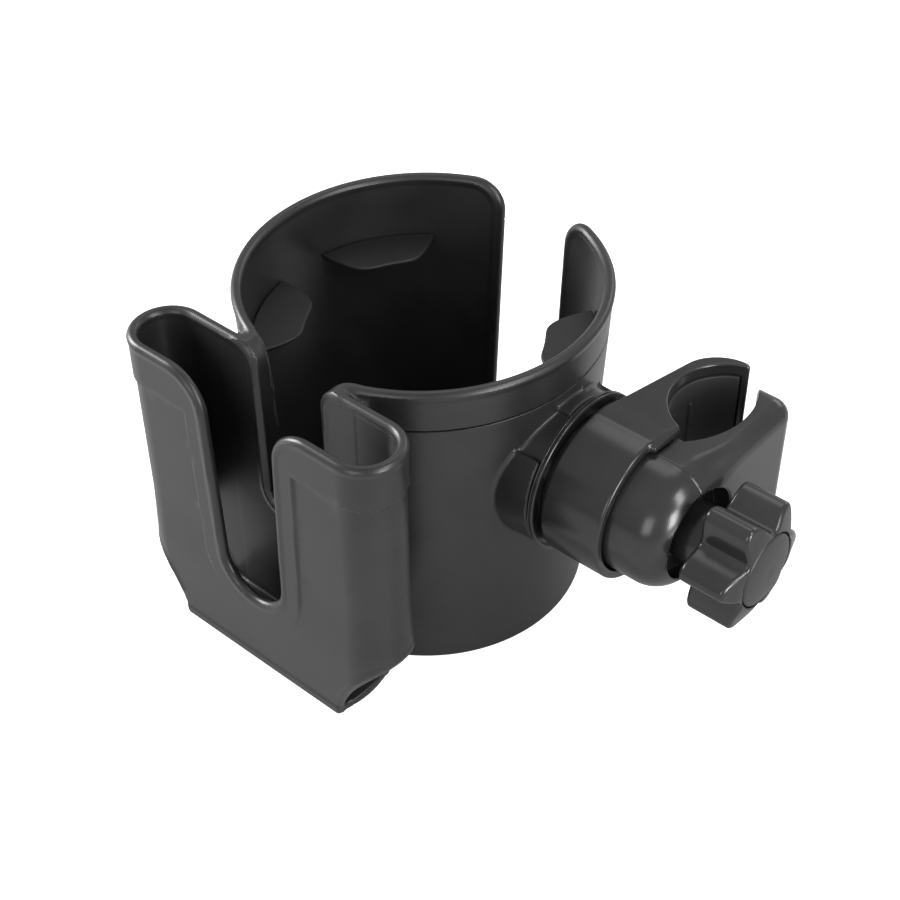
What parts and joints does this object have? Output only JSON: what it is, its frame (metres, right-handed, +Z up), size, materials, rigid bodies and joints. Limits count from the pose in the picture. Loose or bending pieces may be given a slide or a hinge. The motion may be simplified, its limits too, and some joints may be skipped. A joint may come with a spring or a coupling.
{
  "type": "clamp-on cup holder",
  "caption": "Tapered cup holder with a flat phone pocket, mug-handle slot, soft grip fins and a swivelling screw clamp for a tube.",
  "frame": {"origin": "centre of the cup's flat underside", "axes": "+Z up along the cup's axis, +X from the cup to the tube clamp along the swivel axis, -Y towards the phone pocket, +Y towards the mug-handle slot"},
  "size_m": [0.1546, 0.1126, 0.0944],
  "materials": {
    "black_plastic": "satin, fine moulded grain",
    "clamp_plastic": "smooth semi-gloss",
    "black_rubber": "soft matt",
    "zinc_steel": "zinc plated"
  },
  "bodies": {
    "cup": {"cup_and_pocket": "black_plastic", "swivel_friction_ring": "black_rubber", "swivel_bezel": "clamp_plastic", "pivot_washer": "zinc_steel", "pivot_screw_cover": "clamp_plastic"},
    "clamp": {"fixed_jaw": "clamp_plastic", "fixed_jaw_pad": "black_rubber", "clamp_nut": "zinc_steel", "pivot_nut": "zinc_steel", "pivot_spring_washer": "zinc_steel", "pivot_screw": "zinc_steel"},
    "moving_jaw": {"moving_jaw": "clamp_plastic", "moving_jaw_pad": "black_rubber", "thrust_washer": "zinc_steel"},
    "knob": {"knob": "clamp_plastic", "knob_cap": "black_plastic", "clamp_screw": "zinc_steel", "retaining_clip": "zinc_steel"},
    "fin_1": {"grip_fin_1": "black_rubber"},
    "fin_2": {"grip_fin_2": "black_rubber"},
    "fin_3": {"grip_fin_3": "black_rubber"},
    "fin_4": {"grip_fin_4": "black_rubber"}
  },
  "joints": [
    {"name": "clamp_swivel", "type": "hinge", "parent": "cup", "child": "clamp", "pos_m": [0.051, 0, 0.0585], "axis": [1, 0, 0], "continuous": true},
    {"name": "jaw_slide", "type": "slide", "parent": "clamp", "child": "moving_jaw", "axis": [1, 0, 0], "range_m": [-0.0022, 0.008]},
    {"name": "knob_spin", "type": "hinge", "parent": "moving_jaw", "child": "knob", "pos_m": [0.09, 0, 0.0585], "axis": [1, 0, 0], "range_deg": [-792, 2880]},
    {"name": "fin_1_bend", "type": "hinge", "parent": "cup", "child": "fin_1", "pos_m": [0.03505, 0.02106, 0.0758], "axis": [0.515, -0.8572, 0], "range_deg": [-8, 45], "stiffness_Nm_per_rad": 0.02},
    {"name": "fin_2_bend", "type": "hinge", "parent": "cup", "child": "fin_2", "pos_m": [-0.03505, 0.02106, 0.0758], "axis": [0.515, 0.8572, 0], "range_deg": [-8, 45], "stiffness_Nm_per_rad": 0.02},
    {"name": "fin_3_bend", "type": "hinge", "parent": "cup", "child": "fin_3", "pos_m": [-0.03505, -0.02106, 0.0758], "axis": [-0.515, 0.8572, 0], "range_deg": [-8, 45], "stiffness_Nm_per_rad": 0.02},
    {"name": "fin_4_bend", "type": "hinge", "parent": "cup", "child": "fin_4", "pos_m": [0.03505, -0.02106, 0.0758], "axis": [-0.515, -0.8572, 0], "range_deg": [-8, 45], "stiffness_Nm_per_rad": 0.02}
  ],
  "couplings": [
    {"joint": "knob_spin", "follows": "jaw_slide", "rad_per_m": 6283.2}
  ]
}
